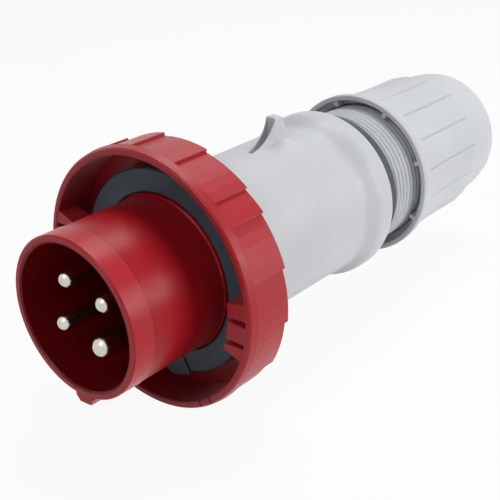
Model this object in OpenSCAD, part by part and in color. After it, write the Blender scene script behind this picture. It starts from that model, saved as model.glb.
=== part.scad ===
// Industrial pin and sleeve plug, 3 poles and earth, watertight, with bayonet ring and cable gland.
// Frame: +X along the plug, from the pins to the cord; +Z up; the origin is the centre of the
// sleeve's front rim. Angles are turned about X, counted from +Y towards +Z.

/* [Sleeve] */
// outside radius of the sleeve at its rim
sleeve_r = 28.5; // [24:0.1:34]
// wall of the sleeve at its rim
sleeve_wall = 2.9; // [2:0.1:4]
// depth from the rim to the base flange
sleeve_depth = 43.5; // [40:0.5:50]
// place of the fine step round the sleeve
sleeve_step_x = 8.9; // [4:0.1:20]
// how far the key rib stands out of the sleeve
key_rise = 3.6; // [2:0.1:5]
// width of the key rib at its root
key_root_w = 8; // [5:0.5:12]
// width of the key rib at its crest
key_tip_w = 3.4; // [2:0.1:6]

/* [Contacts] */
// radius of the circle that the pins stand on
pin_circle_r = 12.4; // [11.5:0.1:13.5]
// radius of a line pin
line_r = 3; // [2.5:0.05:3.5]
// radius of the earth pin
earth_r = 4; // [3.5:0.05:4.5]
// how far the pin ends lie behind the rim
pin_setback = 2.3; // [1:0.1:6]
// angle of the earth pin
earth_angle = -120; // [-150:1:-100]

/* [Locking ring] */
// radius of the ring's smooth front band
ring_r = 47.4; // [44:0.1:52]
// inside radius of the ring
ring_in_r = 44.9; // [42:0.1:46]
// place of the ring's front face
ring_x = 32; // [28:0.5:36]
// length of the ring
ring_l = 19; // [17.5:0.5:24]
// number of equal grip pads, beside one narrow pad
ring_pads = 15; // [9:1:21]
// drop from the high end of one pad to the low end of the next
pad_step = 1.2; // [0.6:0.1:1.6]

/* [Housing] */
// radius of the housing's plain part
housing_r = 30.6; // [30:0.1:33]
// wall of the housing
housing_wall = 2.8; // [2:0.1:3]
// radius of the collar
collar_r = 33.8; // [33:0.1:36]
// place of the collar's rear face
collar_x = 137; // [132:0.5:142]
// height of the raised lug's crest above the axis
lug_z = 40.9; // [37:0.1:43]

/* [Gland] */
// radius of the threaded neck at the thread's root
neck_r = 28.2; // [27.6:0.1:28.6]
// end of the threaded neck
neck_end_x = 172; // [168:0.5:174]
// place of the nut's front face
nut_x = 158; // [154:0.5:162]
// length of the nut
nut_l = 73; // [68:0.5:80]
// wall of the nut's grooved skirt over its thread
nut_wall = 2.25; // [1.9:0.05:4]
// how far the nut's front flange stands out of the skirt
flange_rise = 2.8; // [2:0.1:5]
// radius of the hole for the cord
cord_hole_r = 13; // [9:0.5:14]
// number of grooves in the skirt
skirt_grooves = 16; // [8:1:24]

/* [Hidden] */
$fn = 96;

red = [0.74, 0.16, 0.2];
grey = [0.84, 0.85, 0.87];
plated = [0.8, 0.79, 0.75];
rubber = [0.16, 0.2, 0.24];
seat = 0.3;             // gap between curved faces that only sit close
run = 0.08;             // radial running clearance

// sleeve
sleeve_in = sleeve_r - sleeve_wall;
back_r = sleeve_r - 0.2;        // sleeve behind the fine step
flange_x = sleeve_depth;        // front of the base flange
flange_t = 3.5;
flange_R = 38.3;
seam_x = flange_x + flange_t;   // where the housing begins
ledge_t = 3;
spigot_l = 13;
housing_in = housing_r - housing_wall;
spigot_r = housing_in - seat;
spigot_in = spigot_r - 2.6;

// collar and lug
valley_x = collar_x - 16.5;     // where the collar begins to rise
collar_rise_l = 5.5;
lug_front_x = 88.2;             // where the hollow front slope leaves the housing
lug_slope_r = 13.1;
lug_slope_a = acos(1 - (lug_z - housing_r) / lug_slope_r);
lug_crest_x = 103;
lug_end_x = collar_x - 17;
lug_foot = 9;                   // half width at the foot
lug_crest = 2.1;                // half width at the crest
lug_root = 2;
pocket_w = 2.7;                 // pocket that opens in the front slope
pocket_deep = 4.5;
pocket_roof = 1.3;

// insert and pins
floor_x = flange_x;             // front of the insert
insert_r = 19.2;
insert_end = floor_x + 18;
line_angles = [earth_angle + 90, earth_angle + 180, earth_angle + 270];
bolt_angles = [earth_angle + 135, earth_angle + 315];
bolt_r = 1.9;                   // long screws that hold the insert
bolt_circle_r = spigot_in - 3;
insert_collar = 2;              // height of the raised collars round the pins
insert_collar_wall = 2.2;
pin_root_x = floor_x - insert_collar;
root_rise = 0.5;                // the pin's root in the insert beyond the pin
pin_shoulder_t = 4;
shoulder_rise = 1.8;            // the shoulder beyond the pin
barrel_rise = 1.2;              // the wire barrel beyond the pin
pin_fit = 0.02;                 // radial gap between pin and insert
plate_t = 2.8;
barrel_x = insert_end + plate_t;
barrel_l = 19;
wire_r = 2.9;
screw_places = [barrel_x + 6, barrel_x + 13.5];

// ring
web_x = seam_x + seat;
rest_neck_r = housing_r - 0.3;
web_in = rest_neck_r + run;
band_l = 3.3;
band_rise = 0.45;               // the front band widens to the rear by this much
wall_bite = 0.4;                // how deep inner features are rooted in the ring's wall
narrow_pad = 11.5;
pad_pitch = (360 - narrow_pad) / ring_pads;
pad_start = 146;
pad_parts = 5;
witness_angles = [236, 243];    // narrow cuts in the front edge
gasket_t = 1.8;
gasket_x = flange_x - gasket_t;
fork_rise = 0.7;                // fork round the key, above the gasket's face
lobe_half = 8;
lobe_rise = 3.2;
ramp_in = 37.6;                 // inside radius of the bayonet ramps
ramp_x = ring_x + 0.3;
ramp_back = gasket_x - 1.2;
ramp_step = 0.9;
ramp_starts = [0, 180];
// each tooth of a ramp: where it starts and ends at the wall, and ends and starts at its crest
ramp_teeth = [[-3.9, 4.1, 4.9, -2.8], [7.1, 15.3, 17.4, 6.8], [17.5, 24.2, 24.2, 20.6]];

// gland
tube_in = neck_r - 4.3;
journal_r = tube_in + 1.1;
shelf_x = collar_x + 3;
nut_end = nut_x + nut_l;
bore_in = neck_r + 1.05;        // the nut's threaded bore, at the thread's crest
skirt_r = bore_in + nut_wall;
flange_r = skirt_r + flange_rise;
seal_split_r = cord_hole_r + 2.2;   // where the outer rubber ring ends and the inner begins
claw_in = tube_in - seat - 4.2;
cone_r = journal_r - 2.8;       // the claw's fingers where they leave the collar
tip_r = cord_hole_r + 4.4;      // the claw's fingers at their ends
finger_t = 2.5;
bore_end = neck_end_x + 12;
rubber_l = 23.7;
thrust_x = shelf_x + seat + rubber_l + seat;
thrust_t = 4;
claw_x = thrust_x + thrust_t + seat;
claw_fingers = 8;
claw_slot = 2.2;
cap_in_x = nut_end - 8.2;       // inside of the nut's rear wall

// ---- helpers ----
// turns a profile of [radius, x] points about the X axis
module turned(points, sides = 128) rotate([0, 90, 0]) rotate_extrude($fn = sides) polygon(points);
// carries children to an angle, with their X pointing outwards and their Z along the plug
module at(angle, r = 0, x = 0) rotate([0, 90, 0]) rotate([0, 0, angle + 90]) translate([r, 0, x]) children();
// a round bar along the plug
module bar(r, x0, x1, angle = 0, off = 0, sides = 48) at(angle, off, x0) cylinder(r = r, h = x1 - x0, $fn = sides);

// ---- red front moulding ----
module shroud() color(red) difference() {
    union() {
        turned([[sleeve_in, 0.6], [sleeve_in + 0.5, 0], [sleeve_r - 0.5, 0], [sleeve_r, 0.5],
                [sleeve_r, sleeve_step_x], [back_r, sleeve_step_x], [back_r, flange_x - 2.6],
                [back_r + 0.5, flange_x - 2], [back_r + 0.5, flange_x], [flange_R, flange_x],
                [flange_R, seam_x], [spigot_r, seam_x], [spigot_r, seam_x + spigot_l - 1],
                [spigot_r - 0.8, seam_x + spigot_l], [spigot_in, seam_x + spigot_l],
                [spigot_in, seam_x + ledge_t], [insert_r + seat, seam_x + ledge_t],
                [insert_r + seat, seam_x], [sleeve_in - 0.3, seam_x]]);
        key_rib();
    }
    // groove for the O-ring
    turned([[spigot_r - 1.6, seam_x + 7], [spigot_r + 1, seam_x + 7], [spigot_r + 1, seam_x + 9.6],
            [spigot_r - 1.6, seam_x + 9.6]]);
    for (a = bolt_angles) bar(bolt_r + 0.2, seam_x - 1, seam_x + ledge_t + 1, a, bolt_circle_r);
}

// the rib that lets the plug enter one way only, with sloping flanks and a nose at the rim
module key_rib() at(-90, 0, 0) difference() {
    linear_extrude(height = flange_x + 0.5)
        polygon([[back_r - 1, -key_root_w / 2], [back_r + 0.6, -key_root_w / 2],
                 [back_r + key_rise, -key_tip_w / 2], [back_r + key_rise, key_tip_w / 2],
                 [back_r + 0.6, key_root_w / 2], [back_r - 1, key_root_w / 2]]);
    translate([sleeve_r + key_rise, 0, 0]) rotate([0, 45, 0]) cube([1.6, key_root_w, 1.6], center = true);
}

// ---- insert that carries the pins ----
module contact_carrier() color(red * 0.55) difference() {
    union() {
        bar(sleeve_in - 0.6, floor_x, seam_x, sides = 128);
        bar(insert_r, floor_x + 1, insert_end, sides = 128);
        // raised collars that lengthen the way between the pins
        for (a = line_angles) bar(line_r + insert_collar_wall, pin_root_x, floor_x + 1, a, pin_circle_r);
        bar(earth_r + insert_collar_wall, pin_root_x, floor_x + 1, earth_angle, pin_circle_r);
    }
    for (a = line_angles) pin_hole(a, line_r);
    pin_hole(earth_angle, earth_r);
    for (a = bolt_angles) {
        bar(bolt_r + 0.2, floor_x - 1, insert_end + 1, a, bolt_circle_r);
        bar(2.85, floor_x - 1, floor_x + 1.2, a, bolt_circle_r);
    }
    for (a = bolt_angles) bar(1.25, insert_end - 9, insert_end + 1, a + 90, insert_r - 3.4);
}

// a stepped hole: the pin's root in front, its shoulder behind
module pin_hole(angle, r) {
    bar(r + root_rise + pin_fit, pin_root_x - 1, insert_end + 1, angle, pin_circle_r);
    bar(r + shoulder_rise + pin_fit, insert_end - pin_shoulder_t, insert_end + 1, angle, pin_circle_r);
}

// ---- contact pins ----
module contact_pin(angle, r) color(plated) difference() {
    at(angle, pin_circle_r, 0) rotate_extrude($fn = 64) difference() {
        union() {
            translate([0, pin_setback + r]) square([r, pin_root_x - pin_setback - r + 0.5]);
            translate([0, pin_root_x]) square([r + root_rise, insert_end - pin_root_x]);
            translate([0, pin_setback + r]) intersection() {
                circle(r = r, $fn = 64);
                translate([0, -r]) square([r, 2 * r]);
            }
            translate([0, insert_end - pin_shoulder_t]) square([r + shoulder_rise, pin_shoulder_t]);
            translate([0, insert_end - 0.5]) square([r + barrel_rise, barrel_x + barrel_l - insert_end + 0.5]);
        }
        translate([0, barrel_x + 3]) square([wire_r, barrel_l]);
    }
    for (x = screw_places) at(angle, pin_circle_r, x) rotate([0, 90, 0]) cylinder(r = 1.75, h = r + 3, $fn = 32);
}
module pin_l1() contact_pin(line_angles[0], line_r);
module pin_l2() contact_pin(line_angles[1], line_r);
module pin_l3() contact_pin(line_angles[2], line_r);
module pin_earth() contact_pin(earth_angle, earth_r);

// slotted wire screws that stand outwards from the barrels
module wire_screw(angle, x, r) at(angle, pin_circle_r, x) rotate([0, 90, 0]) difference() {
    translate([0, 0, 1.1]) cylinder(r = 1.7, h = r + 2.2, $fn = 32);
    translate([-2, -0.3, r + 2.5]) cube([4, 0.6, 2]);
}
module terminal_screws() color(plated) {
    for (x = screw_places) {
        for (a = line_angles) wire_screw(a, x, line_r);
        wire_screw(earth_angle, x, earth_r);
    }
}

// pressure plates between screws and wires
module wire_plate(angle) at(angle, pin_circle_r + 0.35, barrel_x + 3.5)
    translate([0, -1.9, 0]) cube([0.7, 3.8, barrel_l - 4]);
module wire_plates() color(plated) {
    for (a = line_angles) wire_plate(a);
    wire_plate(earth_angle);
}

// plate behind the insert, with a hole for each barrel
module retainer_plate() color([0.9, 0.9, 0.88]) difference() {
    bar(insert_r, insert_end, insert_end + plate_t, sides = 128);
    for (a = line_angles)
        bar(line_r + barrel_rise + 0.05, insert_end - 1, insert_end + plate_t + 1, a, pin_circle_r);
    bar(earth_r + barrel_rise + 0.05, insert_end - 1, insert_end + plate_t + 1, earth_angle, pin_circle_r);
    for (a = bolt_angles) {
        bar(4.6, insert_end - 1, insert_end + plate_t + 1, a, bolt_circle_r);
        bar(1.35, insert_end - 1, insert_end + plate_t + 1, a + 90, insert_r - 3.4);
    }
}
module screw(angle, off, x0, x1, shaft_r, head_r, head_t, from_rear = false) {
    difference() {
        union() {
            bar(shaft_r, x0, x1, angle, off, 32);
            if (from_rear) bar(head_r, x1 - head_t, x1, angle, off, 32);
            else bar(head_r, x0, x0 + head_t, angle, off, 32);
        }
        at(angle, off, from_rear ? x1 - 0.8 : x0 - 1.2) translate([-0.4, -head_r - 1, 0])
            cube([0.8, 2 * head_r + 2, 2]);
    }
}
module retainer_screws() color(plated)
    for (a = bolt_angles) screw(a + 90, insert_r - 3.4, insert_end - 7, insert_end + plate_t + 1.8,
                                1.24, 2.4, 1.8, true);
module carrier_screws() color(plated)
    for (a = bolt_angles) screw(a, bolt_circle_r, floor_x - 0.9, insert_end + 26, bolt_r, 2.7, 2.1);

// ---- seals ----
module shroud_seal() color(rubber)
    rotate([0, 90, 0]) rotate_extrude($fn = 128) translate([spigot_r - 0.65, seam_x + 8.3]) circle(r = 0.93, $fn = 32);
module front_gasket() color(rubber) difference() {
    union() {
        turned([[back_r + 0.8, flange_x], [back_r + 0.8, gasket_x + 0.6], [back_r + 1.4, gasket_x],
                [flange_R - 0.9, gasket_x], [flange_R - 0.4, gasket_x + 0.5], [flange_R - 0.4, flange_x]]);
        // a lobe and a raised fork where the gasket passes the key
        at(-90, 0, gasket_x) linear_extrude(height = gasket_t) polygon(gasket_lobe());
        for (side = [-1, 1]) at(-90, 0, gasket_x - fork_rise) linear_extrude(height = gasket_t)
            polygon([[back_r + 2, side * (key_root_w / 2 + 0.8)], [flange_R - 1, side * (key_root_w / 2 + 4.2)],
                     [flange_R - 0.2, side * (key_root_w / 2 + 2.4)], [back_r + 3.6, side * (key_root_w / 2 + 0.4)]]);
    }
    at(-90, 0, gasket_x - 1) translate([back_r, -key_root_w / 2 - seat, 0])
        cube([key_rise + 0.6, key_root_w + 2 * seat, gasket_t + 2]);
}
// outline of the lobe: a half wave that stands out of the gasket's round edge
function gasket_lobe() = concat([[flange_R - 3, lobe_half], [flange_R - 3, -lobe_half]],
    [for (k = [-6 : 6]) let (a = k * 15, r = flange_R - 1.1 + lobe_rise * cos(a)) [r, lobe_half * k / 6]]);
module neck_seal() color([0.45, 0.47, 0.49])
    turned([[neck_r + 0.05, collar_x], [neck_r + 1.7, collar_x], [neck_r + 1.7, collar_x + 6],
            [neck_r + 1.2, collar_x + 7.2], [neck_r + 0.05, collar_x + 7.2]]);

// ---- locking ring ----
module locking_ring() color(red) {
    difference() {
        union() {
            turned([[ring_in_r, ring_x + 0.4], [ring_in_r + 0.4, ring_x], [ring_r - 0.6, ring_x],
                    [ring_r, ring_x + 0.6], [ring_r + band_rise, ring_x + band_l],
                    [ring_r - pad_step - 0.6, ring_x + band_l], [ring_r - pad_step - 0.6, ring_x + ring_l],
                    [web_in, ring_x + ring_l], [web_in, web_x], [ring_in_r, web_x]], 160);
            grip_pads();
        }
        for (a = witness_angles) at(a, ring_in_r - 1, ring_x - 1) translate([0, -0.35, 0])
            cube([ring_r - ring_in_r + 2, 0.7, 2.2]);
    }
    for (a = ramp_starts) bayonet_ramp(a);
}

// pads that are cut into the band behind it: each is flush with the band at its high end
// and pad_step lower at its low end, so the hand gets a hold both ways
module grip_pads() {
    starts = concat([pad_start - narrow_pad], [for (i = [0 : ring_pads - 1]) pad_start + i * pad_pitch]);
    low_r = ring_r + band_rise - 0.05 - pad_step;
    outline = [for (i = [0 : ring_pads]) let (span = i == 0 ? narrow_pad : pad_pitch)
               for (k = [0 : pad_parts]) let (a = starts[i] + 90 + span * k / pad_parts, r = low_r + pad_step * k / pad_parts)
               [r * cos(a), r * sin(a)]];
    rotate([0, 90, 0]) translate([0, 0, ring_x + band_l]) difference() {
        linear_extrude(height = ring_l - band_l) polygon(outline);
        translate([0, 0, -1]) cylinder(r = ring_in_r + wall_bite, h = ring_l + 2, $fn = 160);
    }
}

// three teeth with slots between them and a rear face that steps back: as the ring turns, they
// draw the plug into its socket
module bayonet_ramp(angle) for (i = [0 : len(ramp_teeth) - 1]) {
    tooth = ramp_teeth[i];
    outer = ring_in_r + wall_bite;
    at(angle, 0, ramp_x) linear_extrude(height = ramp_back - ramp_x - (len(ramp_teeth) - 1 - i) * ramp_step)
        polygon([polar(outer, tooth[0]), polar(outer + 0.05, (tooth[0] + tooth[1]) / 2), polar(outer, tooth[1]),
                 polar(ramp_in, tooth[2]), polar(ramp_in - 0.15, (tooth[2] + tooth[3]) / 2),
                 polar(ramp_in, tooth[3])]);
}
function polar(r, a) = [r * cos(a), r * sin(a)];

// ---- housing ----
module housing() color(grey) difference() {
    union() {
        turned([[0, seam_x], [rest_neck_r, seam_x], [rest_neck_r, ring_x + ring_l + 0.2],
                [housing_r + 0.2, ring_x + ring_l + 0.3], [housing_r, ring_x + ring_l + 11], [housing_r, valley_x - 2],
                for (k = [0 : 8]) let (t = k / 8) [housing_r + (collar_r - housing_r) * (1 - cos(180 * t)) / 2,
                                                    valley_x + collar_rise_l * t],
                [collar_r, collar_x - 4.6], [collar_r - 0.25, collar_x - 2.8], [collar_r - 0.9, collar_x - 1.2],
                [collar_r - 2, collar_x], [neck_r, collar_x], [neck_r, neck_end_x - 0.8],
                [neck_r - 0.8, neck_end_x], [0, neck_end_x]], 160);
        lug();
    }
    // wire chamber, shelf for the rubber rings, and gland bore
    difference() {
        turned([[0, seam_x - 1], [housing_in, seam_x - 1], [housing_in, collar_x - 14],
                [tube_in - 1, shelf_x - 6], [tube_in - 6, shelf_x - 3], [tube_in - 6, shelf_x],
                [tube_in, shelf_x], [tube_in, neck_end_x + 1], [0, neck_end_x + 1]], 160);
        for (a = bolt_angles) screw_post(a);
    }
    for (a = bolt_angles) bar(bolt_r + 0.05, insert_end - 1, insert_end + 28, a, bolt_circle_r);
    lug_pocket();
}

// a post for the insert's long screw, tied to the wall
module screw_post(angle) {
    bar(4, insert_end + 1, insert_end + 32, angle, bolt_circle_r);
    at(angle, bolt_circle_r, insert_end + 1) translate([0, -2.4, 0]) cube([housing_in - bolt_circle_r + 0.5, 4.8, 31]);
}

// raised lug on top: a hollow front slope, a narrow crest and a wave down to the collar, on
// flanks that flow out into the round housing
module lug() intersection() {
    turned(concat([[housing_r - lug_root, lug_front_x]],
                  [for (k = [0 : 12]) let (a = lug_slope_a * k / 12)
                   [housing_r + lug_slope_r * (1 - cos(a)), lug_front_x + lug_slope_r * sin(a)]],
                  [for (k = [0 : 10]) let (t = k / 10)
                   [housing_r + (lug_z - housing_r) * (1 + cos(180 * t)) / 2,
                    lug_crest_x + (lug_end_x - lug_crest_x) * t]],
                  [[housing_r - lug_root, lug_end_x]]), 160);
    rotate([90, 0, 90]) translate([0, 0, lug_front_x - 1]) linear_extrude(height = lug_end_x - lug_front_x + 2)
        polygon(concat([for (k = [-10 : 10]) flank_point(k / 10)], [[lug_foot, housing_in + 1], [-lug_foot, housing_in + 1]]));
}
// a point of the lug's cross-section, u from -1 at one foot to 1 at the other
function flank_point(u) = let (side = u < 0 ? -1 : 1, foot_z = sqrt(housing_r * housing_r - lug_foot * lug_foot))
    u == 0 ? [0, lug_z + 0.2] :
    [side * (lug_crest + (lug_foot - lug_crest) * abs(u)), foot_z + (lug_z + 0.2 - foot_z) * pow(1 - abs(u), 4)];

// narrow pocket that opens along the lug's front slope, between two thin cheeks
module lug_pocket() rotate([90, 0, 0]) linear_extrude(height = pocket_w, center = true) intersection() {
    difference() {
        translate([lug_front_x, housing_r + lug_slope_r]) circle(r = lug_slope_r + pocket_deep, $fn = 128);
        translate([lug_front_x, housing_r + lug_slope_r]) circle(r = lug_slope_r - 1, $fn = 128);
    }
    translate([lug_front_x - 3, housing_r - 0.3])
        square([lug_slope_r + pocket_deep + 3, lug_z - housing_r + 0.3 - pocket_roof]);
}

// ---- gland ----
module rubber_ring(r_in, r_out) turned([[r_in + 0.8, shelf_x + seat], [r_out, shelf_x + seat],
    [r_out, shelf_x + seat + rubber_l], [r_in + 0.8, shelf_x + seat + rubber_l],
    [r_in, shelf_x + seat + rubber_l - 1], [r_in, shelf_x + seat + 1]]);
module cable_seal_outer() color(rubber) rubber_ring(seal_split_r, tube_in - seat);
module cable_seal_inner() color([0.25, 0.27, 0.3]) rubber_ring(cord_hole_r - 2.5, seal_split_r - seat);
module thrust_ring() color([0.93, 0.92, 0.88])
    turned([[cord_hole_r - 0.5, thrust_x], [tube_in - seat, thrust_x], [tube_in - seat, thrust_x + thrust_t],
            [cord_hole_r + 1.5, thrust_x + thrust_t], [cord_hole_r - 0.5, thrust_x + thrust_t - 1.5]]);

// a cage: a plain ring in the neck, a bearing collar in the nut, and fingers that lean inwards
module clamp_claw() color([0.25, 0.26, 0.28]) difference() {
    turned([[claw_in, claw_x], [tube_in - seat, claw_x], [tube_in - seat, bore_end + 0.5],
            [journal_r - run, bore_end + 0.5], [journal_r - run, bore_end + 6], [cone_r, bore_end + 7],
            [tip_r, cap_in_x - seat], [tip_r - finger_t, cap_in_x - seat], [claw_in, bore_end + 8]]);
    for (i = [0 : claw_fingers / 2 - 1]) at(i * 360 / claw_fingers, 0, bore_end + 8)
        translate([-journal_r - 5, -claw_slot / 2, 0]) cube([2 * journal_r + 10, claw_slot, nut_l]);
}

module gland_nut() color(grey) difference() {
    union() {
        difference() {
            turned([[0, nut_x], [flange_r - 0.5, nut_x], [flange_r, nut_x + 0.5], [flange_r, nut_x + 3.2],
                    [flange_r - 0.6, nut_x + 4.4], [skirt_r + 1.2, nut_x + 7], [skirt_r + 0.5, nut_x + 14],
                    [skirt_r, nut_x + 24], [skirt_r, nut_x + 46], [skirt_r - 0.5, nut_x + 48],
                    [skirt_r - 1.3, nut_x + 48.6], [skirt_r - 1.5, nut_end - 12], [skirt_r - 2.2, nut_end - 6],
                    [skirt_r - 3.2, nut_end - 3], [skirt_r - 4.9, nut_end - 0.8], [skirt_r - 6.3, nut_end],
                    [0, nut_end]], 160);
            skirt_cuts();
        }
    }
    // front pocket between the flange and the thread, left open round eight teeth
    difference() {
        turned([[bore_in - 1, nut_x - 1], [flange_r - 2.1, nut_x - 1], [flange_r - 2.1, nut_x + 5],
                [bore_in - 1, nut_x + 6]]);
        for (i = [0 : 7]) at(73 + i * 45, bore_in + 0.5, nut_x + 0.6) translate([0, -0.9, 0]) cube([5, 1.8, 8]);
    }
    turned([[0, nut_x - 2], [bore_in, nut_x - 2], [bore_in, bore_end], [journal_r, bore_end],
            [journal_r, bore_end + 6.5], [cone_r + 0.6, bore_end + 8], [tip_r + seat, cap_in_x], [cord_hole_r, cap_in_x],
            [cord_hole_r, nut_end - 1], [cord_hole_r + 1.2, nut_end + 0.2], [0, nut_end + 0.2]]);
}
// shallow grooves along the skirt
module skirt_cuts() for (i = [0 : skirt_grooves - 1])
    at(104 + i * 360 / skirt_grooves, skirt_r - 0.45, nut_x + 6.5) translate([0, -0.45, 0]) cube([4, 0.9, 40.5]);

// ---- assembly ----
shroud();
contact_carrier();
pin_l1();
pin_l2();
pin_l3();
pin_earth();
carrier_screws();
retainer_plate();
retainer_screws();
terminal_screws();
wire_plates();
shroud_seal();
front_gasket();
locking_ring();
housing();
neck_seal();
cable_seal_outer();
cable_seal_inner();
thrust_ring();
clamp_claw();
gland_nut();
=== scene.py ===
# %% [markdown]
# # Industrial pin and sleeve plug
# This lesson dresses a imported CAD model. The model is a fixed frame: nothing in it is moved, and
# every new piece takes its place from it. The sleeve with its contact pins is at -X, the cord
# entry at +X, and Z points up.

# %% Load the frame
import bpy
import math
import numpy as np
from mathutils import Matrix, Vector


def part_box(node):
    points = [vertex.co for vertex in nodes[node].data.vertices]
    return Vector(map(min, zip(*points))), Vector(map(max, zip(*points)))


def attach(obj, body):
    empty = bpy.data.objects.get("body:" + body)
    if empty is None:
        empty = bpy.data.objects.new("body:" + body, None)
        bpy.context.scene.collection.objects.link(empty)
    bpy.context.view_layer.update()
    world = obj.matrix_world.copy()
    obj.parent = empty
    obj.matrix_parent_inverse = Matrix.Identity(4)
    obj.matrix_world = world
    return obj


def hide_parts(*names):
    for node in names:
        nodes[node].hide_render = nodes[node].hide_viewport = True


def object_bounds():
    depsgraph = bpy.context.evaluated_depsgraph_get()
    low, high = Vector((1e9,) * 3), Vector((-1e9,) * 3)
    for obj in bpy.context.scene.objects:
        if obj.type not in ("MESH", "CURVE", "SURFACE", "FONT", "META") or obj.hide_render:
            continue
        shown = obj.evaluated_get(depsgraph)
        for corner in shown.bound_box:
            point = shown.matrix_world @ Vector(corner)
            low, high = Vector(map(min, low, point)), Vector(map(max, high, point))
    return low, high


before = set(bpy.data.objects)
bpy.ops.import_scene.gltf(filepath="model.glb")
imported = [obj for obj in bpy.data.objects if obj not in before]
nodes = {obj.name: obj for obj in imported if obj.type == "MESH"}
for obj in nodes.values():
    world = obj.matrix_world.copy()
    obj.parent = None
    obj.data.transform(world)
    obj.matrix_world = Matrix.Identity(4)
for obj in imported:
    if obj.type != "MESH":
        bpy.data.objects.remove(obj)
cad_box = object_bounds()
MM = 0.001
print("nodes:", len(nodes), "box:", cad_box)

# %% [markdown]
# ## Measures
# Lengths along the plug are read from the boxes of the CAD nodes, so that the pieces added here
# follow the model. Only the radii of round features inside a box are stated again.

# %% Read the frame's own places
def reach(node, axis):
    """The lowest and highest coordinate of a node along one axis, in metres."""
    low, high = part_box(node)
    return low[axis], high[axis]


nut_front, nut_back = reach("gland_nut", 0)
ring_back = reach("locking_ring", 0)[1]
housing_front, housing_back = reach("housing", 0)
seal_front, seal_back = reach("neck_seal", 0)
sleeve_front = reach("shroud", 0)[0]
neck_outside = 28.2
neck_radius = neck_outside * MM
print("nut from", round(nut_front, 4), "to", round(nut_back, 4))

# %% [markdown]
# ## Moulded plastic
# Injection-moulded polyamide is never one flat colour. It has a fine spark-eroded grain, slow
# changes of tone where the melt flowed, and a soft sheen. Three noises make these: a wide one
# shifts the colour, a middle one the roughness, and a fine one the bump. Object coordinates are
# metres here, so each scale is the number of grains in a metre.

# %% Helpers for node materials
def new_material(name):
    """An empty node material with its Principled shader and an Object coordinate."""
    material = bpy.data.materials.new(name)
    material.use_nodes = True
    tree = material.node_tree
    shader = tree.nodes["Principled BSDF"]
    where = tree.nodes.new("ShaderNodeTexCoord").outputs["Object"]
    return material, tree, shader, where


def noise(tree, where, scale, detail=3.0, roughness=0.55):
    """The value of a noise with so many grains in a metre."""
    node = tree.nodes.new("ShaderNodeTexNoise")
    node.inputs["Scale"].default_value = scale
    node.inputs["Detail"].default_value = detail
    node.inputs["Roughness"].default_value = roughness
    tree.links.new(where, node.inputs["Vector"])
    return node.outputs["Fac"]


def spread(tree, value, low, high, from_low=0.3, from_high=0.7):
    """The value carried from one range to another, and held at its ends."""
    node = tree.nodes.new("ShaderNodeMapRange")
    node.inputs["From Min"].default_value = from_low
    node.inputs["From Max"].default_value = from_high
    node.inputs["To Min"].default_value = low
    node.inputs["To Max"].default_value = high
    tree.links.new(value, node.inputs["Value"])
    return node.outputs["Result"]


def blend_colours(tree, value, dark, light):
    """One colour where the value is 0, the other where it is 1."""
    node = tree.nodes.new("ShaderNodeMix")
    node.data_type = "RGBA"
    node.inputs["A"].default_value = (*dark, 1.0)
    node.inputs["B"].default_value = (*light, 1.0)
    tree.links.new(value, node.inputs["Factor"])
    return node.outputs["Result"]


def bump(tree, height, distance, strength=0.5, under=None):
    """A bump whose height is so many metres, on top of another one."""
    node = tree.nodes.new("ShaderNodeBump")
    node.inputs["Distance"].default_value = distance
    node.inputs["Strength"].default_value = strength
    tree.links.new(height, node.inputs["Height"])
    if under is not None:
        tree.links.new(under, node.inputs["Normal"])
    return node.outputs["Normal"]


def seen_clearly(tree):
    """1 for what the camera sees straight, in a reflection or through glass, and 0 otherwise."""
    seen = tree.nodes.new("ShaderNodeLightPath")
    either = seen.outputs["Is Camera Ray"]
    for other in ("Is Glossy Ray", "Is Transmission Ray"):
        larger = tree.nodes.new("ShaderNodeMath")
        larger.operation = "MAXIMUM"
        tree.links.new(either, larger.inputs[0])
        tree.links.new(seen.outputs[other], larger.inputs[1])
        either = larger.outputs["Value"]
    return either


# %% The moulded finish
def moulded(name, colour, tone=0.06, rough=(0.34, 0.46), grain=0.00006, specular=0.5, haze=0.0):
    """Plastic: tone drifts over centimetres, grain is a fraction of a millimetre."""
    material, tree, shader, where = new_material(name)
    dark = tuple(c * (1.0 - tone) for c in colour)
    light = tuple(min(1.0, c * (1.0 + tone)) for c in colour)
    drift = spread(tree, noise(tree, where, 38.0, 4.0), 0.0, 1.0)
    tree.links.new(blend_colours(tree, drift, dark, light), shader.inputs["Base Color"])
    gloss = spread(tree, noise(tree, where, 260.0, 3.0), *rough)
    tree.links.new(gloss, shader.inputs["Roughness"])
    fine = bump(tree, noise(tree, where, 2600.0, 2.0), grain, 0.35)
    slow = bump(tree, noise(tree, where, 90.0, 2.0), grain * 4.0, 0.25, under=fine)
    tree.links.new(slow, shader.inputs["Normal"])
    shader.inputs["Specular IOR Level"].default_value = specular
    shader.inputs["Sheen Weight"].default_value = haze
    shader.inputs["Sheen Roughness"].default_value = 0.4
    return material


red = moulded("red_polyamide", (0.46, 0.016, 0.026), rough=(0.36, 0.46), specular=0.3, haze=0.3)
deep_red = moulded("dark_red_insert", (0.04, 0.002, 0.002), rough=(0.42, 0.55), specular=0.05)
grey = moulded("grey_polyamide", (0.66, 0.68, 0.71), tone=0.03, rough=(0.38, 0.5), specular=0.4)
natural = moulded("natural_polyamide", (0.72, 0.70, 0.62), tone=0.04, rough=(0.4, 0.5))
black = moulded("black_polyamide", (0.03, 0.031, 0.034), tone=0.1, rough=(0.4, 0.52))
print("plastics ready")
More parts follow.
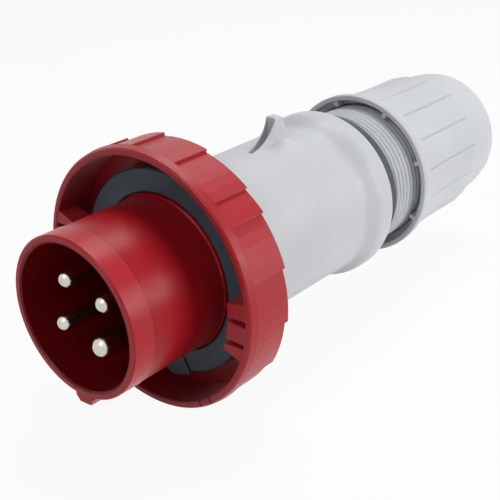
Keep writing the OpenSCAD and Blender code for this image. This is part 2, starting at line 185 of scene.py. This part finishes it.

# %% [markdown]
# ## The sleeve's zones and its painted shade
# The mould of the sleeve is parted close behind the rim. In front of that line the plastic is
# grained and looks paler, and behind it the wall is polished. The paler colour in front is partly
# that grain and partly painted sheen, for the band that lies out of the ring's shadow. The zones
# are told apart by the X of the Object coordinate. The line itself is a small step, and the narrow
# dark band along it is painted shade. The inner wall is painted a darker red as shade in the
# sleeve's hollow.

# %% The sleeve's finish and painted shade
def times(tree, first, second):
    """The product of two values."""
    node = tree.nodes.new("ShaderNodeMath")
    node.operation = "MULTIPLY"
    tree.links.new(first, node.inputs[0])
    tree.links.new(second, node.inputs[1])
    return node.outputs["Value"]


def sleeve_finish_and_shade(part_line, wall_middle, crease=0.00026, wall_edge=0.0002, line_edge=0.0001):
    """The red finish: paler in front of the part line (partly grain, partly painted sheen), a dark
    band of painted shade along the line's step, and a darker red of painted shade inside the wall."""
    material = moulded("sleeve_polyamide", (0.42, 0.009, 0.016), rough=(0.28, 0.36), grain=0.00003,
                       specular=0.2)
    tree = material.node_tree
    shader = tree.nodes["Principled BSDF"]
    where = tree.nodes["Texture Coordinate"].outputs["Object"]
    axes = tree.nodes.new("ShaderNodeSeparateXYZ")
    tree.links.new(where, axes.inputs["Vector"])
    along = axes.outputs["X"]
    across = tree.nodes.new("ShaderNodeVectorMath")
    across.operation = "MULTIPLY"
    across.inputs[1].default_value = (0.0, 1.0, 1.0)
    tree.links.new(where, across.inputs[0])
    radius = tree.nodes.new("ShaderNodeVectorMath")
    radius.operation = "LENGTH"
    tree.links.new(across.outputs["Vector"], radius.inputs[0])
    outside = spread(tree, radius.outputs["Value"], 0.0, 1.0, wall_middle - wall_edge, wall_middle)
    inside = spread(tree, radius.outputs["Value"], 1.0, 0.0, wall_middle - wall_edge, wall_middle)
    ahead = spread(tree, along, 1.0, 0.0, part_line - line_edge, part_line + line_edge)
    front = times(tree, ahead, outside)
    rising = spread(tree, along, 0.0, 1.0, part_line - crease, part_line)
    falling = spread(tree, along, 1.0, 0.0, part_line, part_line + crease)
    step_shade = times(tree, times(tree, rising, falling), outside)
    plain = shader.inputs["Base Color"].links[0].from_socket
    # The front colour is partly painted sheen; the line's dark red and the inside's darker red are painted
    # shade.
    zones = ((front, (0.5, 0.024, 0.034)), (step_shade, (0.08, 0.0, 0.0)), (inside, (0.2, 0.003, 0.005)))
    for value, colour in zones:
        mix = tree.nodes.new("ShaderNodeMix")
        mix.data_type = "RGBA"
        tree.links.new(value, mix.inputs["Factor"])
        tree.links.new(plain, mix.inputs["A"])
        mix.inputs["B"].default_value = (*colour, 1.0)
        plain = mix.outputs["Result"]
    tree.links.new(plain, shader.inputs["Base Color"])
    return material


part_line_depth, wall_middle_radius = 8.9 * MM, 26.6 * MM
sleeve_red = sleeve_finish_and_shade(sleeve_front + part_line_depth, wall_middle_radius)
print("sleeve finish ready")

# %% [markdown]
# ## Rubber and metal
# Sealing rubber is matt, with a bloom of paler dust in slow patches. The pins are nickel-plated
# brass: a warm bright metal with fine turning marks round each pin and small rubbed spots.

# %% Rubber and plated metal
def rubber_finish(name, colour, bloom):
    """Matt rubber whose bloom lightens it in patches of about a centimetre."""
    material, tree, shader, where = new_material(name)
    patch = spread(tree, noise(tree, where, 70.0, 5.0), 0.0, 1.0)
    tree.links.new(blend_colours(tree, patch, colour, bloom), shader.inputs["Base Color"])
    tree.links.new(spread(tree, patch, 0.52, 0.68, 0.0, 1.0), shader.inputs["Roughness"])
    tree.links.new(bump(tree, noise(tree, where, 1500.0, 3.0), 0.0001, 0.4), shader.inputs["Normal"])
    return material


def plated(name, colour, rough=(0.16, 0.3)):
    """Plated metal with turning marks: a noise drawn out round the pin by a stretched X."""
    material, tree, shader, where = new_material(name)
    stretch = tree.nodes.new("ShaderNodeMapping")
    stretch.inputs["Scale"].default_value = (6.0, 0.4, 0.4)
    tree.links.new(where, stretch.inputs["Vector"])
    marks = noise(tree, stretch.outputs["Vector"], 900.0, 3.0)
    wear = spread(tree, noise(tree, where, 300.0, 4.0), 0.0, 1.0)
    darker = tuple(c * 0.86 for c in colour)
    tree.links.new(blend_colours(tree, wear, darker, colour), shader.inputs["Base Color"])
    tree.links.new(spread(tree, marks, *rough), shader.inputs["Roughness"])
    tree.links.new(bump(tree, marks, 0.000008, 0.2), shader.inputs["Normal"])
    shader.inputs["Metallic"].default_value = 1.0
    return material


seal_rubber = rubber_finish("seal_rubber", (0.03, 0.053, 0.07), (0.066, 0.104, 0.13))
neck_rubber = rubber_finish("neck_rubber", (0.052, 0.06, 0.064), (0.072, 0.081, 0.085))
nickel = plated("nickel_plate", (0.66, 0.63, 0.58), rough=(0.14, 0.24))
zinc = plated("zinc_plate", (0.66, 0.66, 0.65), rough=(0.28, 0.42))
print("rubber and metal ready")

# %% Give each CAD node its finish
finish_of = {
    "shroud": sleeve_red, "locking_ring": red, "contact_carrier": deep_red,
    "pin_l1": nickel, "pin_l2": nickel, "pin_l3": nickel, "pin_earth": nickel,
    "carrier_screws": zinc, "retainer_screws": zinc, "terminal_screws": zinc, "wire_plates": zinc,
    "retainer_plate": natural, "thrust_ring": natural, "clamp_claw": black,
    "shroud_seal": seal_rubber, "front_gasket": seal_rubber, "neck_seal": neck_rubber,
    "cable_seal_outer": seal_rubber, "cable_seal_inner": seal_rubber,
    "housing": grey, "gland_nut": grey,
}
for name, material in finish_of.items():
    mesh = nodes[name].data
    mesh.materials.clear()
    mesh.materials.append(material)
print("finished nodes:", len(finish_of), "of", len(nodes))

# %% [markdown]
# ## Surfaces from functions
# Every new piece is a grid of points worked out from two parameters. One parameter runs along
# the piece and the other round it. The grid is closed where the real surface is closed, so that
# no seam shows and the shape has an inside and an outside.

# %% Grid to mesh
def grid_piece(name, points, material, close_u=False, close_v=True, smooth=True):
    """A mesh from an array of shape (copies, rows, columns, 3). Each cell of a grid becomes two
    triangles. Points in one place are joined into one, which closes seams and poles, and the
    triangles that shrink to a line there are left out."""
    rows, columns = points.shape[-3:-1]
    index = np.arange(points.size // 3).reshape(-1, rows, columns)
    if close_u:
        index = np.concatenate([index, index[:, :1]], axis=1)
    if close_v:
        index = np.concatenate([index, index[:, :, :1]], axis=2)
    a, b, c, d = index[:, :-1, :-1], index[:, :-1, 1:], index[:, 1:, 1:], index[:, 1:, :-1]
    halves = ((a, b, c), (a, c, d))
    faces = np.concatenate([np.stack(half, axis=-1).reshape(-1, 3) for half in halves])
    places, joined = np.unique(np.round(points.reshape(-1, 3), 7), axis=0, return_inverse=True)
    faces = joined.reshape(-1)[faces]
    whole = (faces[:, 0] != faces[:, 1]) & (faces[:, 1] != faces[:, 2]) & (faces[:, 2] != faces[:, 0])
    mesh = bpy.data.meshes.new(name)
    mesh.from_pydata(places, [], faces[whole])
    mesh.materials.append(material)
    mesh.polygons.foreach_set("use_smooth", np.full(len(mesh.polygons), smooth))
    mesh.update()
    piece = bpy.data.objects.new(name, mesh)
    bpy.context.scene.collection.objects.link(piece)
    print(name, "has", len(mesh.polygons), "faces")
    return piece


# %% [markdown]
# ## The neck's thread
# The real thread is one ridge wound seven times and more round the neck. The CAD neck is a plain
# cylinder at its root, so the ridge is added as a small profile carried along a helix.

# %% Wind the thread
def helix_ridge(radius, height, pitch, start, turns, width, per_turn=160):
    """A ridge on a helix: x grows by one pitch a turn, and the profile is a trapezium with its
    foot sunk a little below the root. It fades in and out over the first and last half turn, and
    over the last fortieth of a turn its width shrinks to a point, which closes both ends."""
    turn = np.linspace(0.0, turns, int(per_turn * turns) + 1)[:, None]
    from_end = np.minimum(turn, turns - turn)
    fade = np.clip(from_end * 2.0, 0.0, 1.0)
    point = np.clip(from_end * 40.0, 0.0, 1.0)
    sunk = 0.15
    offset = np.array([-0.5, -0.3, -0.12, 0.12, 0.3, 0.5])[None, :] * width * point
    rise = np.array([-sunk, 0.42, 1.0, 1.0, 0.42, -sunk])[None, :] * height
    rise = np.where(rise > 0, rise * fade - sunk * height * (1.0 - fade), rise)
    x = start + turn * pitch + offset
    r = radius + rise
    angle = 2.0 * np.pi * turn
    return np.stack([x + 0 * r, r * np.cos(angle), -r * np.sin(angle)], axis=-1)


pitch, ridge_height, ridge_width = 2.5 * MM, 0.85 * MM, 2.2 * MM
bare_front, bare_back = 1.6 * MM, 2.2 * MM
thread_start = seal_back + bare_front
thread_turns = (housing_back - bare_back - thread_start) / pitch
thread = grid_piece("neck_thread",
                    helix_ridge(neck_radius, ridge_height, pitch, thread_start, thread_turns, ridge_width),
                    grey, close_v=True)
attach(thread, "plug_body")

# %% [markdown]
# ## The gland nut
# The nut is one moulding: a flange in front, a skirt with sixteen grooves for the hand, and a
# narrower cap round the cord hole. Its section could be spun, but the grooves and the flat
# panels between them would be lost. So the section is a closed path of rounded corners, it is
# carried round the axis, and the radius is lowered where a groove or a flat panel lies.

# %% A path with rounded corners
def rounded_path(corners, steps=5):
    """A closed path of points from rows of (radius, x, rounding). At each corner a parabola runs
    from one side to the other: (1-t)^2 A + 2t(1-t) C + t^2 B, where C is the corner, and A and B
    lie on its two sides, as far from C as the rounding says."""
    corners = np.asarray(corners, dtype=float)
    here, rounding = corners[:, :2], corners[:, 2:3]
    before, after = np.roll(here, 1, axis=0) - here, np.roll(here, -1, axis=0) - here
    length_before = np.linalg.norm(before, axis=1, keepdims=True)
    length_after = np.linalg.norm(after, axis=1, keepdims=True)
    first = here + before / length_before * np.minimum(rounding, length_before * 0.45)
    last = here + after / length_after * np.minimum(rounding, length_after * 0.45)
    t = np.linspace(0.0, 1.0, steps)[None, :, None]
    path = (1 - t) ** 2 * first[:, None] + 2 * t * (1 - t) * here[:, None] + t ** 2 * last[:, None]
    return path.reshape(-1, 2)


def filled_path(path, longest):
    """The same closed path with points added so that no stretch is longer than asked."""
    closed = np.vstack([path, path[:1]])
    along = np.concatenate([[0.0], np.cumsum(np.linalg.norm(np.diff(closed, axis=0), axis=1))])
    extra = np.arange(0.0, along[-1], longest)
    place = np.unique(np.round(np.concatenate([along[:-1], extra]), 4))
    return np.stack([np.interp(place, along, closed[:, k]) for k in range(2)], axis=1)


# %% Mould the nut
GROOVES = 16
groove_start, groove_deep, groove_half, panel_deep = 104.0, 0.6, 0.34, 0.28
per_groove, crowding, longest_step = 24, 2.3, 1.3
skirt_radius, flange_radius, cap_radius = 31.55, 34.3, 28.9
nut_length = (nut_back - nut_front) / MM
skirt_end = 48.2
nut_section = [
    (flange_radius, 0.0, 0.7), (flange_radius, 3.6, 0.8), (33.3, 4.9, 0.8), (32.7, 7.0, 2.0),
    (32.0, 14.0, 5.0), (skirt_radius, 24.0, 6.0), (skirt_radius, skirt_end, 0.9),
    (cap_radius + 0.5, skirt_end + 0.9, 0.5), (cap_radius, nut_length - 9.0, 5.0),
    (27.6, nut_length - 2.4, 2.6), (24.6, nut_length, 2.4), (13.6, nut_length, 0.7),
    (13.0, nut_length - 1.0, 0.5), (13.0, 64.8, 0.3), (17.7, 64.8, 0.5), (22.8, 34.0, 0.8),
    (25.0, 32.5, 0.6), (25.0, 26.0, 0.3), (29.25, 26.0, 0.3), (29.25, 6.0, 0.5),
    (30.0, 5.0, 0.3), (32.2, 5.0, 0.5), (32.2, 0.0, 0.6)]


def nut_surface():
    """Points of the nut. With s the place in one groove's pitch, from -1 to 1 and 0 at a groove,
    the angles crowd round s = 0 as a power of |s|. The radius falls by the groove's depth times a
    bell in the groove, and by the panel's depth times 1 - (2|s| - 1)^2 between the grooves."""
    path = filled_path(rounded_path(nut_section, 4), longest_step)
    r, x = path[:, 0:1], path[:, 1:2]
    s = np.arange(per_groove) / per_groove * 2.0 - 1.0
    within = np.sign(s) * np.abs(s) ** crowding
    start = np.radians(groove_start) + np.arange(GROOVES)[:, None] * 2.0 * np.pi / GROOVES
    angle = (start + within * np.pi / GROOVES).reshape(1, -1)
    side = np.tile(within, GROOVES)[None, :]
    away = side * np.pi * skirt_radius / GROOVES
    groove = np.exp(-(away / groove_half) ** 4)
    ends = np.clip((x - 6.6) / 2.0, 0.0, 1.0) * np.clip((skirt_end + 0.6 - x) / 0.8, 0.0, 1.0)
    outside = (r > 30.2) * (x > 6.0)
    panel = 1.0 - (2.0 * np.abs(side) - 1.0) ** 2
    flat = np.clip((x - 16.0) / 26.0, 0.0, 1.0) * (r > 29.3) * (x < skirt_end + 1.2)
    radius = r - outside * ends * groove_deep * groove - outside * flat * panel_deep * panel
    x = x + 0 * angle
    points = np.stack([x, radius * np.cos(angle), radius * np.sin(angle)], axis=-1) * MM
    return points + np.array([nut_front, 0.0, 0.0])


nut_skin = grid_piece("ribbed_nut", nut_surface(), grey, close_u=True, close_v=True)
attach(nut_skin, "nut")
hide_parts("gland_nut")

# %% [markdown]
# ## Teeth in the nut's mouth
# Eight small webs tie the nut's flange to the wall round its thread. Each is a block with soft
# edges, rooted in both walls and in the floor between them.

# %% Set the teeth
def soft_block(half, softness=0.25, rows=14, columns=24):
    """A block with soft edges about the origin. It is a sphere's grid whose sines and cosines are
    raised to a small power, so that it swells towards its corners: half * sign(c)|c|^softness."""
    u = np.linspace(-np.pi / 2, np.pi / 2, rows)[:, None]
    v = np.linspace(0.0, 2.0 * np.pi, columns, endpoint=False)[None, :]

    def swell(value):
        return np.sign(value) * np.abs(np.round(value, 9)) ** softness

    unit = np.stack([swell(np.cos(u)) * swell(np.cos(v)), swell(np.cos(u)) * swell(np.sin(v)),
                     swell(np.sin(u)) + 0 * v], axis=-1)
    return unit * np.asarray(half)


def round_the_axis(points, angles):
    """Copies of points, turned about the plug's axis: y' = y cos - z sin, z' = y sin + z cos."""
    turn = np.radians(angles)[:, None, None]
    x, y, z = points[None, ..., 0], points[None, ..., 1], points[None, ..., 2]
    return np.stack([x + 0 * turn, y * np.cos(turn) - z * np.sin(turn),
                     y * np.sin(turn) + z * np.cos(turn)], axis=-1)


first_tooth, tooth_step = 73.0, 45.0
tooth_half, tooth_middle = (2.9, 1.35, 0.95), (3.6, 31.0, 0.0)
tooth = soft_block(tooth_half) + np.array(tooth_middle)
teeth_points = round_the_axis(tooth, first_tooth + tooth_step * np.arange(8)) * MM
teeth_points = teeth_points + np.array([nut_front, 0.0, 0.0])
nut_teeth = grid_piece("nut_teeth", teeth_points, grey)
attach(nut_teeth, "nut")

# %% [markdown]
# ## The housing and its lug
# The housing is a tube with a collar, and a fin stands on its top. The fin's front slope is hollow,
# its root flows out into the round wall, and a narrow pocket opens along the slope. A spun
# section can't hold a fin, so the outside is a height over the cylinder: each point's radius is
# the tube's radius plus the fin's height there. The rows crowd along the fin and the columns
# across it, so that its thin cheeks stay crisp while the rest stays light.

# %% Shape of the fin
FIN_ANGLE = 95.6
fin_front, fin_crest, fin_rear, fin_end = 86.6, 100.05, 103.6, 108.5
fin_height, fin_hollow = 10.3, 13.93
pocket_front, pocket_rear, pocket_floor = 87.6, 100.3, -1.6
cheek_share, cheek_start, cheek_width = 0.78, 2.9, 1.2
fillet_share, fillet_start, fillet_width, fillet_power = 0.22, 2.7, 10.5, 2.4
pocket_half, pocket_behind = 2.4, 4.5
print("fin from", fin_front, "to", fin_end, "mm, at", FIN_ANGLE, "degrees")


def smooth_step(t):
    """0 below 0, 1 above 1, and 3t^2 - 2t^3 between."""
    t = np.clip(t, 0.0, 1.0)
    return t * t * (3.0 - 2.0 * t)


def fin_rise(x, degrees):
    """Height of the fin over the tube, in millimetres. Along x: an arc h = R - sqrt(R^2 - x^2), a
    flat crest, and half a cosine wave. Across: steep cheeks at about 3 degrees, and a fillet that
    falls as a power to 13 degrees. In the pocket the height is that of the pocket's floor."""
    run = np.clip(x - fin_front, 0.0, fin_crest - fin_front)
    slope = fin_hollow - np.sqrt(fin_hollow ** 2 - run ** 2)
    wave = (1.0 + np.cos(np.pi * np.clip((x - fin_rear) / (fin_end - fin_rear), 0.0, 1.0))) / 2.0
    along = np.minimum(slope, fin_height) * wave
    away = np.abs(degrees)
    cheeks = cheek_share * (1.0 - smooth_step((away - cheek_start) / cheek_width))
    beyond = np.clip(away - fillet_start, 0.0, None) / fillet_width
    fillet = fillet_share * np.clip(1.0 - beyond, 0.0, 1.0) ** fillet_power
    solid = along * (cheeks + fillet)
    back_wall = np.sqrt(np.clip((fin_hollow + pocket_behind) ** 2 - (x - fin_front) ** 2, 0.0, None))
    floor = np.maximum(fin_hollow - back_wall, pocket_floor)
    inside = smooth_step((x - pocket_front) / 0.4) * smooth_step((pocket_rear - x) / 0.3)
    inside = inside * smooth_step((pocket_half - away) / 0.35)
    return solid * (1.0 - inside) + np.minimum(floor, solid) * inside


# %% Mould the housing
tube_radius, collar_radius, wall_inside, bore_inside = 30.6, 33.9, 27.8, 23.9
collar_place = seal_front / MM
housing_start, housing_end = housing_front / MM, housing_back / MM
ring_rear = ring_back / MM
behind_fin = [
    (tube_radius, collar_place - 16.6, 2.2), (32.9, collar_place - 11.9, 0.9),
    (collar_radius, collar_place - 9.4, 1.6), (collar_radius + 0.05, collar_place - 3.2, 1.2),
    (33.1, collar_place - 1.1, 1.0), (31.2, collar_place, 0.6), (neck_outside, collar_place, 0.2),
    (neck_outside, housing_end - 0.8, 0.4), (27.4, housing_end, 0.4), (bore_inside, housing_end, 0.3),
    (bore_inside, collar_place + 3.0, 0.2), (17.9, collar_place + 3.0, 0.2),
    (17.9, collar_place, 0.4), (22.9, collar_place - 3.0, 0.8), (wall_inside, collar_place - 14.0, 1.0),
    (wall_inside, housing_start, 0.2), (30.3, housing_start, 0.3), (30.3, ring_rear + 0.2, 0.1),
    (30.8, ring_rear + 0.3, 0.2)]


def crowded_angles():
    """Degrees from the fin's middle: close together across its cheeks, wide apart elsewhere."""
    half = np.concatenate([np.linspace(0.7, 1.9, 3), np.linspace(2.05, 2.4, 5),
                           np.linspace(2.6, 4.3, 13), np.linspace(4.7, 16.0, 20),
                           np.linspace(18.2, 177.8, 74)])
    return np.concatenate([[0.0], half, [180.0], -half[::-1]])


def housing_surface():
    """The closed section carried round the axis, with the fin's height added over the tube."""
    rows = np.unique(np.concatenate([np.linspace(85.5, 110.0, 76), np.linspace(87.5, 88.1, 6),
                                     np.linspace(99.2, 100.5, 14)]))
    fin_rows = np.stack([np.full_like(rows, tube_radius), rows], axis=1)
    lead = np.stack([np.full(6, tube_radius), np.linspace(ring_rear + 11.0, 84.0, 6)], axis=1)
    ends = np.vstack([[(tube_radius, 114.5, 0.1)], behind_fin, [(tube_radius + 0.1, ring_rear + 4.0, 1.0)]])
    rest = rounded_path(ends, 6)
    path = np.vstack([lead, fin_rows, rest])
    r, x = path[:, 0:1], path[:, 1:2]
    degrees = crowded_angles()[None, :]
    over_tube = (np.abs(r - tube_radius) < 0.01) * (x > 85.0) * (x < 112.0)
    radius = r + over_tube * fin_rise(x, degrees)
    angle = np.radians(FIN_ANGLE + degrees)
    return np.stack([x + 0 * angle, radius * np.cos(angle), radius * np.sin(angle)], axis=-1) * MM


housing_skin = grid_piece("moulded_housing", housing_surface(), grey, close_u=True, close_v=True)
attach(housing_skin, "plug_body")
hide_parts("housing")

# %% [markdown]
# ## Floor, light and camera
# A pale seamless floor and wide soft lamps stand for a light tent. The floor looks white to the
# camera and to shiny surfaces, yet it still takes the plug's shadow.

# %% Floor
def pale_floor(z, size=8.0):
    """A flat square under the plug, as a grid of two by two points."""
    side = np.array([-size, size])
    x, y = np.meshgrid(side, side, indexing="ij")
    return grid_piece("floor", np.stack([x, y, np.full_like(x, z)], axis=-1), floor_paint(),
                      close_v=False, smooth=False)


def floor_paint(white_share=0.93):
    """Pale paint with a trace of cloudiness. Most of what the camera and the reflections see of it
    is plain white, so that it looks as bright as paper in a light tent while the shadow stays."""
    material, tree, shader, where = new_material("floor_paint")
    cloud = spread(tree, noise(tree, where, 3.0), 0.0, 1.0)
    paper = blend_colours(tree, cloud, (0.88, 0.88, 0.88), (0.92, 0.92, 0.92))
    tree.links.new(paper, shader.inputs["Base Color"])
    shader.inputs["Roughness"].default_value = 0.8
    white = tree.nodes.new("ShaderNodeEmission")
    white.inputs["Strength"].default_value = 1.0
    mix = tree.nodes.new("ShaderNodeMixShader")
    either = seen_clearly(tree)
    tree.links.new(spread(tree, either, 0.0, white_share, 0.0, 1.0), mix.inputs["Fac"])
    tree.links.new(shader.outputs["BSDF"], mix.inputs[1])
    tree.links.new(white.outputs["Emission"], mix.inputs[2])
    tree.links.new(mix.outputs["Shader"], tree.nodes["Material Output"].inputs["Surface"])
    return material


floor = pale_floor(cad_box[0][2] - 0.0005)

# %% [markdown]
# Three square lamps light the plug from above, from its right and from its front, and the world
# gives the shadows a weak fill.

# %% World and lamps
def soft_lamp(name, place, target, size, power):
    """A square lamp that looks from its place at the target."""
    light = bpy.data.lights.new(name, "AREA")
    light.shape = "SQUARE"
    light.size = size
    light.energy = power
    lamp = bpy.data.objects.new(name, light)
    bpy.context.scene.collection.objects.link(lamp)
    lamp.location = place
    lamp.rotation_euler = (Vector(target) - Vector(place)).to_track_quat("-Z", "Y").to_euler()
    return lamp


def tent_world(fill):
    """White to the camera and in reflections, and a weaker fill on matt surfaces."""
    world = bpy.data.worlds.new("light_tent")
    bpy.context.scene.world = world
    world.use_nodes = True
    tree = world.node_tree
    background = tree.nodes["Background"]
    background.inputs["Color"].default_value = (1.0, 1.0, 1.0, 1.0)
    either = seen_clearly(tree)
    tree.links.new(spread(tree, either, fill, 1.0, 0.0, 1.0), background.inputs["Strength"])


tent_world(0.05)
middle, lamp_size = (0.11, 0.0, 0.0), 0.4
soft_lamp("tent_top", (0.35, 0.1, 0.75), middle, lamp_size, 3.3)
soft_lamp("tent_right", (0.42, -0.8, 0.22), middle, lamp_size, 3.9)
soft_lamp("tent_front", (-0.5, -0.1, 0.6), middle, lamp_size, 1.3)
bpy.context.scene.view_settings.view_transform = "Standard"
print("lamps ready")

# %% [markdown]
# The camera looks from the pins' side, a little from above. Its place is given with the two
# directions that span its picture.

# %% Camera
def aim_camera(eye, right, up, degrees):
    """A camera at the eye whose picture plane is spanned by the right and up directions."""
    side, top = Vector(right).normalized(), Vector(up).normalized()
    back = side.cross(top)
    lens = bpy.data.cameras.new("camera")
    lens.sensor_fit = "HORIZONTAL"
    lens.angle = math.radians(degrees)
    camera = bpy.data.objects.new("camera", lens)
    bpy.context.scene.collection.objects.link(camera)
    turn = Matrix((side, top, back)).transposed()
    camera.matrix_world = Matrix.Translation(eye) @ turn.to_4x4()
    bpy.context.scene.camera = camera
    return camera


eye, field = (-0.1741, -0.2345, 0.1405), 28.07
picture_right, picture_up = (0.6422, -0.7629, -0.0743), (0.3438, 0.2001, 0.9175)
aim_camera(eye, picture_right, picture_up, field)
print("camera set")
